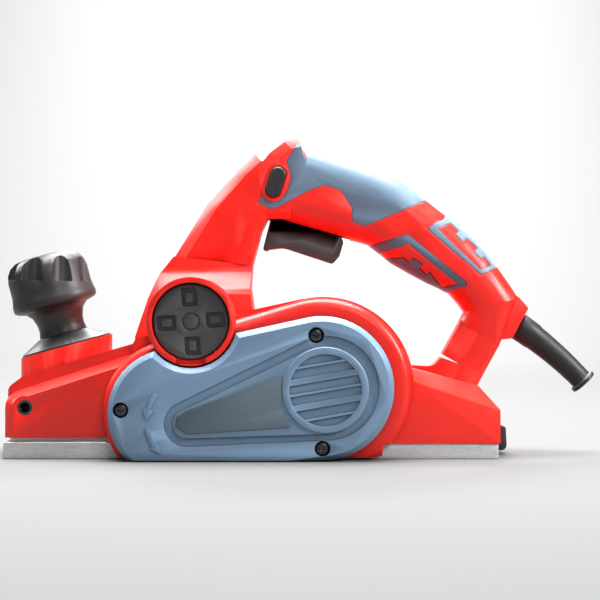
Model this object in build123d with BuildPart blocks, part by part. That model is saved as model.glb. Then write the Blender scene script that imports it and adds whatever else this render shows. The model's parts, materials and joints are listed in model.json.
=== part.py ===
"""Electric hand planer: an 82 mm planer with a belt-driven cutter drum.

Frame: +X to the rear, -X to the front, +Y to the right of the machine, +Z up, millimetres.
The origin is the middle of the rear sole's underside.
"""

from build123d import *
from math import cos, radians, sin
import os

os.makedirs("parts", exist_ok=True)

# ---------------------------------------------------------------- driving dimensions
SOLE_HALF = 42.0          # half the width of both soles
REAR_END = 88.0           # rear edge of the rear sole
FRONT_END = -202.5        # front edge of the front shoe
SOLE_HEIGHT = 8.7         # visible side of the rear sole
SHOE_HEIGHT = 9.6         # visible side of the front shoe
HOUSING_BOTTOM = 12.0     # lower edge of the front housing
WALL = 2.6                # plastic wall

DRUM_X, DRUM_Z = -91.0, 23.5      # cutter drum axis
DRUM_RADIUS = 22.6
CUT_RADIUS = 23.5                 # circle swept by the blade edges
MOTOR_X, MOTOR_Z = -13.5, 41.5    # motor axis
MOTOR_SHELL_R = 53.0              # motor housing, outside
MOTOR_BARREL_R = 47.0             # motor housing to the right of the body
BODY_HALF = 43.0                  # half the width of the main housing
BOSS_FACE = -51.0                 # flat face that carries the belt cover
COVER_FACE = -63.5                # outer face of the belt cover
BARREL_END = 66.0                 # right end of the motor barrel

PORT_X, PORT_Z = -91.0, 80.3      # chip port axis
PORT_BORE = 22.5
PORT_RING = 25.6
PORT_LEFT = -60.5                 # left rim of the chip port
PORT_RIGHT = 52.0                 # right rim of the chip port

KNOB_TILT = 15.0                  # the depth spindle leans forward
KNOB_X, KNOB_Z = -169.7, 64.7     # spindle axis at the scale ring's seat
HANDLE_HALF = 18.5                # half the width of the handle

STATOR_WIDTH, STATOR_HEIGHT, STATOR_CORNER = 76.0, 58.0, 16.0
BRUSH_Y, BRUSH_CAP_R = 56.0, 6.6          # brush axis, across the commutator
SPRING_X, SPRING_Y, SPRING_TOP = -182.0, 24.0, 29.0
FOOT_X, FOOT_Z, FOOT_PIN_R = 92.8, 5.8, 1.5
FOOT_HALF = 3.5           # half thickness of the parking foot, and the radius of its round lower end
FENCE_X, FENCE_Z, FENCE_R = -189.0, 29.8, 3.0
COVER_SCREWS = [(-131.0, 29.5), (-18.8, 72.5), (-15.2, 7.4)]      # belt cover screws

BASE_SCREWS = [(x, y) for x in (-60, 80) for y in (-34, 34)]
BASE_SCREW_R = 2.1
END_SCREWS = [(MOTOR_X + 41.5 * cos(radians(a)), MOTOR_Z + 41.5 * sin(radians(a)))
              for a in (35, 145, -28, 208)]

KNOB_AXIS = Plane(
    origin=(KNOB_X, 0, KNOB_Z),
    x_dir=(cos(radians(KNOB_TILT)), 0, sin(radians(KNOB_TILT))),
    z_dir=(-sin(radians(KNOB_TILT)), 0, cos(radians(KNOB_TILT))),
)


# ---------------------------------------------------------------- helpers
def side(y):
    """Sketch plane of the side view at depth y: sketch (x, y) is (X, Z), and extruding goes to -Y."""
    return Plane.XZ.offset(-y)


def slab(points, radii, low, high):
    """A side-view outline with rounded corners, extruded from Y = low to Y = high."""
    with BuildPart() as made:
        with BuildSketch(side(high)):
            with BuildLine():
                FilletPolyline(*points, radius=radii, close=True)
            make_face()
        extrude(amount=high - low)
    return made.part


def plate(points, low, high):
    """A sharp-cornered side-view outline, extruded from Y = low to Y = high."""
    with BuildPart() as made:
        with BuildSketch(side(high)):
            with BuildLine():
                Polyline(*points, close=True)
            make_face()
        extrude(amount=high - low)
    return made.part


def disc(x, z, radius, low, high):
    """A cylinder along Y from low to high."""
    with BuildPart() as made:
        with BuildSketch(side(high)):
            with Locations((x, z)):
                Circle(radius)
        extrude(amount=high - low)
    return made.part


def block(x, y, z):
    """A box from three (low, high) pairs."""
    with BuildPart() as made:
        with BuildSketch(Plane.XY.offset(z[0])):
            with Locations(((x[0] + x[1]) / 2, (y[0] + y[1]) / 2)):
                Rectangle(x[1] - x[0], y[1] - y[0])
        extrude(amount=z[1] - z[0])
    return made.part


def turned(plane, profile):
    """A solid of revolution: profile is (radius, height) points about the plane's z axis."""
    with BuildPart() as made:
        section = Plane(origin=plane.origin, x_dir=plane.x_dir, z_dir=plane.x_dir.cross(plane.z_dir))
        with BuildSketch(section):
            with BuildLine():
                Polyline(*profile, close=True)
            make_face()
        revolve(axis=Axis(plane.origin, plane.z_dir))
    return made.part


def along_y(x, y, z, outward=-1):
    """A plane whose z axis points to -Y (outward -1) or +Y (outward 1)."""
    return Plane(origin=(x, y, z), x_dir=(1, 0, 0), z_dir=(0, outward, 0))


def cross_screw(plane, head_r, head_h, shank_r, length, cross=0.55):
    """A pan-head screw with a cross recess: the head's underside is on the plane, the shank goes into -z."""
    with BuildPart() as made:
        add(turned(plane, [(0, -length), (shank_r * 0.7, -length), (shank_r, -length + shank_r),
                           (shank_r, 0), (head_r, 0), (head_r, head_h * 0.55),
                           (head_r * 0.8, head_h * 0.9), (head_r * 0.55, head_h), (0, head_h)]))
        with BuildSketch(plane.offset(head_h + 0.01)):
            Rectangle(2 * head_r * cross, head_r * 0.24)
            Rectangle(head_r * 0.24, 2 * head_r * cross)
        extrude(amount=-head_h * 0.7, mode=Mode.SUBTRACT)
    return made.part


def write(builder, name):
    """Labels a finished piece and writes its STEP file."""
    part = builder.part
    part.label = name
    export_step(part, f"parts/{name}.step")


# ================================================================ soles
# The rear sole is one casting with the two cheeks that hold the drum's bearings.
CHEEK_IN, CHEEK_OUT = SOLE_HALF, 49.0
BEARING_OUTER_R = 11.0
MOUTH_REAR_LOW, MOUTH_REAR_TOP = -78.0, -69.5
CHEEK_OUTLINE = [(-118, 14), (-108, 4), (-60, 2), (-44, 2), (-44, 9), (-62, 30), (-78, 44), (-104, 44),
                 (-118, 34)]

with BuildPart() as base_frame:
    add(plate([(MOUTH_REAR_LOW, 0), (REAR_END, 0), (REAR_END, SOLE_HEIGHT), (MOUTH_REAR_TOP, SOLE_HEIGHT)],
              -SOLE_HALF, SOLE_HALF))
    # hollow from above, with two cross ribs left standing
    for x_low, x_high in ((-64, -22), (-18, 30), (34, 84)):
        add(block((x_low, x_high), (-38, 38), (4.0, SOLE_HEIGHT + 1)), mode=Mode.SUBTRACT)
    for sign in (-1, 1):
        low, high = sorted((sign * CHEEK_IN, sign * CHEEK_OUT))
        add(slab(CHEEK_OUTLINE, 2.0, low, high))
        add(disc(DRUM_X, DRUM_Z, BEARING_OUTER_R, low - 1, high + 1), mode=Mode.SUBTRACT)
    # screw holes up into the housing
    with Locations(*[(x, y, 0) for x, y in BASE_SCREWS]):
        CounterBoreHole(BASE_SCREW_R + 0.1, 4.2, 2.6, depth=20)
write(base_frame, "base_frame")

# The front shoe slides on the spindle's axis to set the planing depth.
SHOE_REAR_LOW, SHOE_REAR_TOP = -104.5, -113.0
RIM_FRONT, RIM_REAR, RIM_TOP = -198.0, -124.0, 20.0
with BuildPart() as front_shoe:
    add(slab([(FRONT_END, 0), (SHOE_REAR_LOW, 0), (SHOE_REAR_TOP, SHOE_HEIGHT),
              (FRONT_END + 1.2, SHOE_HEIGHT)],
             [1.0, 0.4, 0.4, 1.0], -SOLE_HALF, SOLE_HALF))
    add(block((FRONT_END + 7, SHOE_REAR_TOP - 6), (-37, 37), (4.5, SHOE_HEIGHT + 1)), mode=Mode.SUBTRACT)
    # the rim that telescopes inside the housing's skirt
    with BuildSketch(Plane.XY.offset(SHOE_HEIGHT - 2)):
        with Locations(((RIM_FRONT + RIM_REAR) / 2, 0)):
            Rectangle(RIM_REAR - RIM_FRONT, 2 * 38.6)
            Rectangle(RIM_REAR - RIM_FRONT - 6, 2 * 35.6, mode=Mode.SUBTRACT)
    extrude(amount=RIM_TOP - SHOE_HEIGHT + 2)
    # boss for the spindle nut, along the spindle
    with BuildSketch(KNOB_AXIS.offset(-63)):
        Circle(10)
    extrude(amount=25)
    # blind bore for the nut and the end of the spindle
    with BuildSketch(KNOB_AXIS.offset(-38)):
        Circle(6.5)
    extrude(amount=-12, mode=Mode.SUBTRACT)
    with BuildSketch(KNOB_AXIS.offset(-38)):
        Circle(4.6)
    extrude(amount=-17, mode=Mode.SUBTRACT)
    # three V grooves for chamfering edges
    for y, depth in ((-20, 2.0), (0, 3.0), (20, 1.4)):
        with BuildSketch(Plane.YZ.offset(FRONT_END - 1)):
            with BuildLine():
                Polyline((y - depth, 0), (y, depth), (y + depth, 0), (y, -depth), close=True)
            make_face()
        extrude(amount=SHOE_REAR_LOW - FRONT_END + 3, mode=Mode.SUBTRACT)
write(front_shoe, "front_shoe")


# ================================================================ main housing
COVER_LEFT_X, COVER_LEFT_Z, COVER_LEFT_R = -101.1, 27.2, 37.6      # front lobe of the belt cover
COVER_RIGHT_X, COVER_RIGHT_Z, COVER_RIGHT_R = -15.5, 41.9, 41.5    # rear lobe of the belt cover
BOSS_BOTTOM = 1.5
SEAM_FRONT = [(-103.5, 118.8), (-56.5, 113.4)]     # joint between front post and handle


def lobes(left_r, right_r, low, high, bottom):
    """The hull of the belt cover's two lobes with other radii, from Y = low to high, cut off below."""
    with BuildPart() as made:
        with BuildSketch(side(high)):
            with Locations((COVER_LEFT_X, COVER_LEFT_Z)):
                Circle(left_r)
            with Locations((COVER_RIGHT_X, COVER_RIGHT_Z)):
                Circle(right_r)
            make_hull()
        extrude(amount=high - low)
        split(bisect_by=Plane.XY.offset(bottom), keep=Keep.TOP)
    return made.part


def rear_body(inset):
    """The tail of the housing over the rear sole, with its two sloping shoulders."""
    half, low = BODY_HALF - inset, SOLE_HEIGHT + inset
    with BuildPart() as made:
        add(slab([(5, low), (REAR_END + 1 - inset, low), (REAR_END + 1 - inset, 28.5 - inset * 0.6),
                  (77.5 - inset * 0.8, 42 - inset), (39, 52 - inset), (5, 56 - inset)],
                 [0.5, 1.0, 1.0, 2.0, 1.0, 0.5], -half, half))
        for sign in (-1, 1):
            shoulder = Plane(origin=(39, sign * half, 44.7 - inset), z_dir=(253.5, sign * 483.6, 750))
            split(bisect_by=shoulder, keep=Keep.BOTTOM)
    return made.part


def front_skirt():
    """The lower front of the housing, with a bevel along both shoulders."""
    with BuildPart() as made:
        add(slab([(-201.3, HOUSING_BOTTOM), (-201.3, 37.2), (-126, 61.3), (-100, 66), (-100, HOUSING_BOTTOM)],
                 [0, 11, 0, 0, 0], -SOLE_HALF, SOLE_HALF))
        shoulders = [e for e in made.edges()
                     if abs(abs(e.center().Y) - SOLE_HALF) < 0.1
                      and e.center().Z > 33 and e.center().X < -112]
        chamfer(shoulders, 5.0)
    return made.part


def front_post():
    """The lower front post with the shroud over the chip channel, its nose bevelled."""
    half = 30.0
    with BuildPart() as made:
        add(plate([(-127, 60), (-126.3, 71), (-118.5, 94), (-111.5, 109), SEAM_FRONT[0],
                   SEAM_FRONT[1], (-57.8, 100), (-56, 86), (-56, 60)], -half, half))
        nose = [e for e in made.edges() if abs(abs(e.center().Y) - half) < 0.1 and e.center().X < -103.6]
        chamfer(nose, 8.0)
    return made.part


with BuildPart() as post_taper:
    # narrows the front post from the shroud's width to the handle's width
    with BuildSketch(Plane.YZ.offset(-140)):
        with BuildLine():
            FilletPolyline((-17.5, 125), (-17.5, 110), (-26, 99), (-36, 92), (-36, 50),
                           (36, 50), (36, 92), (26, 99), (17.5, 110), (17.5, 125),
                           radius=[0.5, 6, 6, 4, 0.5, 0.5, 4, 6, 6, 0.5], close=True)
        make_face()
    extrude(amount=95)

with BuildPart() as shroud:
    add(front_post())
    add(post_taper.part, mode=Mode.INTERSECT)

with BuildPart() as belt_boss:
    add(lobes(COVER_LEFT_R + 4.4, COVER_RIGHT_R + 10.5, BOSS_FACE, -BODY_HALF + 1, BOSS_BOTTOM))
    rim = [e for e in belt_boss.edges()
           if abs(e.center().Y - BOSS_FACE) < 0.01 and e.center().Z > BOSS_BOTTOM + 0.1]
    fillet(rim, 5.5)

POST_PLANE = Plane(origin=(69.75, 0, 53.5), x_dir=(0.877, 0, -0.48), z_dir=(0.48, 0, 0.877))
POST_DOWN = Plane(origin=(69.75, 0, 53.5), x_dir=(0.877, 0, -0.48), z_dir=(-0.48, 0, -0.877))
BEND_HEIGHT = 21.0        # height along the post at which the grip's bend ends
SEAM_REAR_PLANE = Plane(origin=(69.75, 0, 53.5), z_dir=(0.339, 0, 0.941))


def bar_section(plane, inset):
    """Section of the rear post's bar, with the wide bevels on its inner side."""
    inner, outer, half = -13.4 + inset, 13.4 - inset, 15.5 - inset
    with BuildSketch(plane) as made:
        with BuildLine():
            Polyline((inner, half - 7), (inner, -half + 7), (inner + 12, -half), (outer - 3, -half),
                     (outer, -half + 3), (outer, half - 3), (outer - 3, half), (inner + 12, half), close=True)
        make_face()
    return made.sketch


def rear_bar(low, high, inset=0.0):
    """The rear post's bar between two heights along the post."""
    with BuildPart() as made:
        extrude(bar_section(POST_PLANE.offset(low), inset), amount=high - low)
    return made.part


with BuildPart() as rear_post:
    # foot of the rear post, and the rounded fillet into the deck ahead of it
    add(rear_bar(-30, 10))
    split(bisect_by=SEAM_REAR_PLANE, keep=Keep.BOTTOM)
    add(slab([(56.6, 57.6), (52.6, 52.6), (37, 53.4), (36, 40), (62, 40)], [0, 9, 0, 0, 0], -8.5, 8.5))

with BuildPart() as main_housing:
    add(front_skirt())
    # raised deck and the pedestal of the depth knob
    add(slab([(-199.6, 30), (-199.6, 41.5), (-190.7, 48.2), (-125, 67.4), (-108, 70), (-108, 30)],
             [1, 5, 3, 1, 1, 1], -36.5, 36.5))
    with BuildSketch(KNOB_AXIS):
        Circle(28.4)
    extrude(amount=17, dir=(0, 0, -1))
    # middle and motor body
    add(disc(MOTOR_X - 1, MOTOR_Z, MOTOR_SHELL_R, -BODY_HALF, BODY_HALF))
    add(slab([(-126, SOLE_HEIGHT), (-126, 70), (-56, 87), (-25.5, 93.6), (-20, 60), (-20, SOLE_HEIGHT)],
             [1, 6, 2, 1, 1, 1], -BODY_HALF, BODY_HALF))
    add(shroud.part)
    add(disc(PORT_X, PORT_Z, PORT_RING, PORT_LEFT, PORT_RIGHT))
    add(belt_boss.part)
    # right-hand boss over the drum's bearing, and the motor barrel
    with BuildSketch(side(51)):
        with Locations((DRUM_X - 3, DRUM_Z + 2)):
            Circle(36)
        with Locations((MOTOR_X, MOTOR_Z)):
            Circle(MOTOR_BARREL_R + 2)
        make_hull()
    extrude(amount=9)
    add(disc(MOTOR_X, MOTOR_Z, MOTOR_BARREL_R, 42, BARREL_END))
    add(rear_body(0))
    add(rear_post.part)
    # everything rests on the soles
    add(block((-205, 95), (-42.2, 42.2), (-80, SOLE_HEIGHT)), mode=Mode.SUBTRACT)
    add(block((-205, 95), (-70, 70), (-80, BOSS_BOTTOM)), mode=Mode.SUBTRACT)
    add(block((-43, 95), (42, 90), (-80, SOLE_HEIGHT)), mode=Mode.SUBTRACT)
    add(block((20, 95), (-70, -42), (-80, SOLE_HEIGHT)), mode=Mode.SUBTRACT)
    add(block((-205, -103), (-42.3, 42.3), (-5, HOUSING_BOTTOM)), mode=Mode.SUBTRACT)
    # hollows: front skirt and deck
    add(slab([(-198.8, -1), (-198.8, 30), (-190, 36), (-128, 52), (-122.5, 30), (-122.5, -1)],
             [1, 6, 3, 2, 1, 1], -39.2, 39.2), mode=Mode.SUBTRACT)
    add(slab([(-197, 25), (-197, 38.5), (-189.5, 45.2), (-127, 63.4), (-121, 50), (-121, 25)],
             [1, 4, 3, 2, 1, 1], -33.9, 33.9), mode=Mode.SUBTRACT)
    with BuildSketch(KNOB_AXIS.offset(-3.2)):
        Circle(25.4)
        Circle(9.0, mode=Mode.SUBTRACT)
    extrude(amount=-16, mode=Mode.SUBTRACT)
    # drum chamber, chip duct and chip port
    add(disc(DRUM_X, DRUM_Z, 27.6, -42.2, 42.2), mode=Mode.SUBTRACT)
    add(block((-118.6, -63.4), (-42.2, 42.2), (-1, 24)), mode=Mode.SUBTRACT)
    add(block((-112, -72), (-27, 27), (40, 78)), mode=Mode.SUBTRACT)
    add(disc(PORT_X, PORT_Z, PORT_BORE, PORT_LEFT - 1, PORT_RIGHT + 1), mode=Mode.SUBTRACT)
    add(block((PORT_X - 8.6, PORT_X + 8.6), (PORT_LEFT - 1, PORT_LEFT + 4),
              (PORT_Z - PORT_RING + 1.2, PORT_Z - 15)),
        mode=Mode.SUBTRACT)
    # pockets for the sole casting's cheeks
    for low, high in ((-49.3, -41.8), (41.8, 49.3)):
        add(slab([(-118.5, 13.5), (-108.3, 3.5), (-108.3, -9), (-43.5, -9), (-43.5, 9.5), (-61.7, 30.5),
                  (-77.7, 44.5), (-104.3, 44.5), (-118.5, 34.5)], 0.5, low, high), mode=Mode.SUBTRACT)
    # motor cavity, open on the right
    with BuildSketch(side(BODY_HALF - WALL)):
        with Locations((MOTOR_X - 1, MOTOR_Z)):
            Circle(MOTOR_SHELL_R - WALL - 0.6)
        with Locations((MOTOR_X, SOLE_HEIGHT + WALL - 50)):
            Rectangle(140, 100, mode=Mode.SUBTRACT)
    extrude(amount=2 * BODY_HALF - 2 * WALL, mode=Mode.SUBTRACT)
    with BuildSketch(side(BARREL_END + 1)):
        with Locations((MOTOR_X, MOTOR_Z)):
            Circle(MOTOR_BARREL_R - WALL)
        with Locations((MOTOR_X, SOLE_HEIGHT + WALL - 50)):
            Rectangle(140, 100, mode=Mode.SUBTRACT)
    extrude(amount=BARREL_END + 1 - 30, mode=Mode.SUBTRACT)
    # tail cavity and the two wire ways up into the handle
    add(rear_body(WALL), mode=Mode.SUBTRACT)
    add(slab([(60.5, 61), (78, 54.5), (70, 34), (52, 38)], 1, -7.5, 7.5), mode=Mode.SUBTRACT)
    add(block((-98, -64), (-11, 11), (109.2, 125)), mode=Mode.SUBTRACT)
    # shaft openings of the belt side
    add(disc(MOTOR_X, MOTOR_Z, 11.0, -48.5, -35), mode=Mode.SUBTRACT)
    add(disc(MOTOR_X, MOTOR_Z, 7.0, -52, -40), mode=Mode.SUBTRACT)
    add(disc(DRUM_X, DRUM_Z, 9.0, -52, -49), mode=Mode.SUBTRACT)
    # two ribs that cradle the stator
    for y in (-10, 18):
        with BuildSketch(side(y + 3)):
            with Locations((MOTOR_X - 1, MOTOR_Z)):
                Circle(MOTOR_SHELL_R - 1)
            with Locations((MOTOR_X, MOTOR_Z)):
                RectangleRounded(STATOR_WIDTH + 0.2, STATOR_HEIGHT + 0.2, STATOR_CORNER, mode=Mode.SUBTRACT)
            with Locations((MOTOR_X, SOLE_HEIGHT - 49)):
                Rectangle(140, 100, mode=Mode.SUBTRACT)
        extrude(amount=3)
    # screw holes above the sole and around the motor's end cover
    for x, y in BASE_SCREWS:
        with BuildSketch(Plane.XY.offset(SOLE_HEIGHT - 1)):
            with Locations((x, y)):
                Circle(BASE_SCREW_R)
        extrude(amount=10, mode=Mode.SUBTRACT)
    for x, z in END_SCREWS:
        add(disc(x, z, 3.6, BARREL_END - 20, BARREL_END - 3.6))
        add(disc(x, z, 1.5, BARREL_END - 21, BARREL_END), mode=Mode.SUBTRACT)
    # seats of the two springs that push the shoe down
    for y in (-SPRING_Y, SPRING_Y):
        with BuildSketch(Plane.XY.offset(SPRING_TOP)):
            with Locations((SPRING_X, y)):
                Circle(5.5)
        extrude(amount=48 - SPRING_TOP)
    # brush cap holes in the sides of the barrel
    for sign in (-1, 1):
        with BuildSketch(Plane(origin=(MOTOR_X + sign * 30, BRUSH_Y, MOTOR_Z), z_dir=(sign, 0, 0))):
            Circle(BRUSH_CAP_R + 0.1)
        extrude(amount=30, mode=Mode.SUBTRACT)
    # lugs for the parking foot's pin
    for y_low, y_high in ((-6, -3), (3, 6)):
        add(slab([(86, 12.5), (86, SOLE_HEIGHT), (88.3, SOLE_HEIGHT), (88.3, 3.6), (95, 3.6), (95, 8),
                  (91, 12.5)],
                 [0, 0, 0, 0, 2, 2, 1], y_low, y_high))
        add(disc(FOOT_X, FOOT_Z, FOOT_PIN_R + 0.02, y_low - 1, y_high + 1), mode=Mode.SUBTRACT)
    # threaded inserts for the parallel fence, one on each side
    for y_low, y_high in ((-SOLE_HALF - 1, -SOLE_HALF + 8), (SOLE_HALF - 8, SOLE_HALF + 1)):
        add(disc(FENCE_X, FENCE_Z, 7.0, max(y_low, -SOLE_HALF), min(y_high, SOLE_HALF)))
        add(disc(FENCE_X, FENCE_Z, FENCE_R + 1.5, y_low, y_high), mode=Mode.SUBTRACT)
    # cover screw holes
    for x, z in COVER_SCREWS:
        add(disc(x, z, 1.6, BOSS_FACE - 1, BOSS_FACE + 9), mode=Mode.SUBTRACT)
    # spindle hole through the pedestal
    with BuildSketch(KNOB_AXIS.offset(1)):
        Circle(4.3)
    extrude(amount=-40, mode=Mode.SUBTRACT)
write(main_housing, "main_housing")


# The end cover closes the motor barrel on the right and holds the small motor bearing.
MOTOR_AXIS = along_y(MOTOR_X, 0, MOTOR_Z, 1)
END_FACE = 75.5
SMALL_BEARING_LOW, SMALL_BEARING_WIDTH, SMALL_BEARING_R = 66.0, 6.0, 9.5
with BuildPart() as end_cavity:
    # inside of the end cover, around the bearing's collar
    add(turned(MOTOR_AXIS, [(12, 60), (12, 72.9), (40.9, 72.9), (41.8, 71.9), (41.8, 60)]))
    split(bisect_by=Plane.XY.offset(SOLE_HEIGHT + 2 * WALL), keep=Keep.TOP)

with BuildPart() as motor_end_cover:
    add(turned(MOTOR_AXIS, [(0, 66), (0, END_FACE), (41, END_FACE), (45.5, 73.5), (47, 70), (47, 66)]))
    split(bisect_by=Plane.XY.offset(SOLE_HEIGHT), keep=Keep.TOP)
    add(turned(MOTOR_AXIS, [(0, 62.5), (0, 66), (44.1, 66), (44.1, 62.5)]))
    split(bisect_by=Plane.XY.offset(SOLE_HEIGHT), keep=Keep.TOP)
    add(block((-90, 60), (60, 66), (0, SOLE_HEIGHT + WALL + 0.3)), mode=Mode.SUBTRACT)
    add(end_cavity.part, mode=Mode.SUBTRACT)
    add(turned(MOTOR_AXIS, [(0, 60), (SMALL_BEARING_R, 60), (SMALL_BEARING_R, 72), (4, 72), (4, 73),
                            (0, 73)]),
        mode=Mode.SUBTRACT)
    # cooling slots in two arcs across the face
    with BuildSketch(along_y(MOTOR_X, END_FACE + 1, MOTOR_Z, 1)):
        for radius, count in ((19, 9), (28, 13), (36, 15)):
            with PolarLocations(radius, count, 20, 320 / count * (count - 1), endpoint=True):
                SlotCenterToCenter(4.6, 2.2, rotation=90)
    extrude(amount=-5, mode=Mode.SUBTRACT)
    for x, z in END_SCREWS:
        add(disc(x, z, 1.5, 60, 73), mode=Mode.SUBTRACT)
        add(disc(x, z, 3.3, 72.5, 80), mode=Mode.SUBTRACT)
write(motor_end_cover, "motor_end_cover")

# ================================================================ handle
# The handle is a lofted grip between two posts, split into two shells along Y = 0.
# Stations along the grip: centre x and z, height across the grip, and slope in degrees.
GRIP_STATIONS = [(-33, 164, 49, 18), (-13, 157.9, 48.3, 17.5), (7.2, 151.5, 47, 17.7),
                 (22.9, 145.5, 43.7, 26.8),
                 (39.5, 132.4, 42.9, 35.7), (61.9, 117.3, 39, 43), (76.8, 104.3, 33.4, 62),
                 (87.5, 89.7, 34, 75.4)]
GRIP_DEPTH = 1.4          # thickness of the soft grips
POST_SIDE = 15.0          # half the width of the front post ahead of its wide bevel


def between(before, start, end, after, t):
    """The Catmull-Rom curve from start to end, at t from 0 to 1."""
    return tuple(0.5 * (2 * q + (r - p) * t + (2 * p - 5 * q + 4 * r - u) * t ** 2
                        + (3 * q - p - 3 * r + u) * t ** 3)
                 for p, q, r, u in zip(before, start, end, after))


def grip_plane(x, z, slope):
    """Plane across the grip at a point of its centre line."""
    return Plane(origin=(x, 0, z), x_dir=(sin(radians(slope)), 0, cos(radians(slope))),
                 z_dir=(cos(radians(slope)), 0, -sin(radians(slope))))


def grip_bar(inset):
    """The lofted grip between the trigger and the rear post; an inset bar reaches past both ends."""
    ends = [GRIP_STATIONS[0], *GRIP_STATIONS, GRIP_STATIONS[-1]]
    stations = []
    for before, start, end, after in zip(ends, ends[1:], ends[2:], ends[3:]):
        stations += [start, between(before, start, end, after, 0.5)]
    stations.append(GRIP_STATIONS[-1])
    with BuildPart() as made:
        for number, (x, z, height, slope) in enumerate(stations):
            reach = {0: -inset, len(stations) - 1: inset}.get(number, 0)
            with BuildSketch(grip_plane(x, z, slope).offset(reach)):
                RectangleRounded(height - 2 * inset, 2 * (HANDLE_HALF - inset), 15.5 - inset)
        loft(ruled=True)
    return made.part


def rear_bend(inset):
    """The bend from the end of the grip down into the rear post's bar."""
    x, z, height, slope = GRIP_STATIONS[-1]
    with BuildPart() as made:
        with BuildSketch(grip_plane(x, z, slope)):
            RectangleRounded(height - 2 * inset, 2 * (HANDLE_HALF - inset), 15.5 - inset)
        add(bar_section(POST_DOWN.offset(-BEND_HEIGHT), inset))
        loft(ruled=True)
    return made.part


def bevelled_plate(inner, outer, half_inner, half_outer):
    """A plate: the outline inner up to half_inner, sloping to the outline outer at half_outer, both sides."""
    with BuildPart() as made:
        add(plate(inner, -half_inner, half_inner))
        for sign in (-1, 1):
            for outline, y in ((inner, half_inner), (outer, half_outer)):
                with BuildSketch(Plane.XZ.offset(-sign * y)):
                    with BuildLine():
                        Polyline(*outline, close=True)
                    make_face()
            loft(ruled=True)
    return made.part


def handle_solid(inset):
    """The whole handle, every surface moved in by inset."""
    i = inset
    with BuildPart() as made:
        add(grip_bar(i))
        # nose of the front post
        add(bevelled_plate(
            [(-103.5 + i * 1.2, 118.8), (-84 + i, 150.4 - i), (-64.6 + i, 171.7 - i), (-54.8 + i, 180.8 - i),
             (-44, 181 - i), (-46, 150), (-58 - i, 113.6)],
            [(-96.5 + i * 1.2, 118), (-78.3 + i, 147.4 - i), (-60.3 + i, 167.8 - i), (-51.6 + i, 176 - i),
             (-44, 176 - i), (-46, 150), (-58 - i, 113.6)],
            POST_SIDE - 7.5 - i * 0.5, POST_SIDE - i))
        # wider part of the post behind its bevel, up to the trigger
        add(bevelled_plate(
            [(-75.5 + i, 115.6), (-64.6 + i, 150.4), (-53.6 + i, 171.7 - i), (-46.3 + i, 180.8 - i),
             (-37.2 + i, 187.8 - i), (-29 + i, 189.6 - i), (-24, 175), (-34, 141.5 + i),
             (-47.5 - i, 141.5 + i),
             (-51.2 - i, 134), (-56.5 - i, 113.4)],
            [(-65.8 + i, 114.5), (-57.3 + i, 144.4), (-51.2 + i, 156.5), (-38.4 + i, 177.8 - i),
             (-33.5 + i, 183 - i), (-27.5 + i, 184.5 - i), (-24, 172), (-35, 145.5 + i),
             (-49.5 - i, 145.5 + i),
             (-54.5 - i, 134), (-59.5 - i, 113.8)],
            POST_SIDE - i, HANDLE_HALF - i))
        # rear post down to its joint, and the collar around the cord guard
        add(rear_bend(i))
        add(rear_bar(0, BEND_HEIGHT, i))
        add(slab([(88, 95), (103 - i, 95 - i), (109.2, 87.8 - i), (99.5, 69.6 + i), (92.8, 68.9 + i),
                  (86, 72 + i)],
                 [0, 3, 1, 1, 2, 0], -12.5 + i, 12.5 - i))
        split(bisect_by=SEAM_REAR_PLANE, keep=Keep.TOP)
    return made.part


with BuildPart() as handle_outer:
    add(handle_solid(0))
with BuildPart() as handle_core:
    add(handle_solid(GRIP_DEPTH))
with BuildPart() as handle_cavity:
    add(grip_bar(3.2))
    add(plate([(-97, 110), (-62.5, 165.5), (-47, 177), (-32, 183), (-28, 150), (-46, 150), (-60.5, 133),
               (-62.5, 110)],
              -11.8, 11.8))
    add(rear_bend(3.2))
    add(rear_bar(-3, BEND_HEIGHT, 3.2))
    add(plate([(86, 90), (100, 88), (104.5, 84.5), (96.5, 73.5), (84, 76)], -9.3, 9.3))


def left_half(solid):
    """The half of a solid on the operator's left, split along Y = 0."""
    with BuildPart() as made:
        add(solid)
        split(bisect_by=Plane.XZ, keep=Keep.TOP)
    return made.part


def right_half(solid):
    """The half of a solid on the operator's right, split along Y = 0."""
    with BuildPart() as made:
        add(solid)
        split(bisect_by=Plane.XZ, keep=Keep.BOTTOM)
    return made.part


# Side-view outlines of the soft grips; the red combs show through windows in two of them.
UPPER_GRIP = [(-26.9, 190.5), (-36.5, 175.8), (-33.5, 165.6), (-36, 157), (-43, 151.9), (-50.2, 156.1),
              (-53.8, 150.7), (-44, 146.6), (-22.1, 158.4), (-13.2, 161.1), (-4.2, 158.4), (2.7, 148),
              (3, 139.5), (10, 136.6), (21.5, 141.1), (49, 153), (52, 168), (0, 205)]
UPPER_RADII = [1, 3, 6, 5, 3, 1.2, 1.5, 6, 5, 6, 6, 4, 2.5, 5, 3, 1, 1, 1]
LOWER_GRIP = [(11, 124.5), (36.5, 132.1), (73.5, 101.7), (59.6, 97.3), (52, 86), (12, 106)]
LOWER_COMB = [(19.1, 120.2), (36.5, 126.2), (66.3, 102.3), (57.4, 100.5), (49.6, 110), (47.8, 108.2),
              (43.6, 112.4),
              (46, 114.2), (39.4, 118.4), (37.6, 115.4), (34, 118.4), (22.1, 117.8)]
REAR_GRIP = [(47.2, 135.7), (58, 141), (66, 156), (104, 120), (89.6, 111.8), (80.1, 107.6)]
REAR_COMB = [(54.4, 135.1), (62.2, 138.7), (66.9, 133.9), (65.1, 131.5), (69.2, 127.2), (71.4, 129.6),
             (78.3, 123.8),
             (75.9, 121.4), (80.3, 117), (82.2, 118.4), (86.2, 113.2), (79.5, 111.2)]

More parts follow.
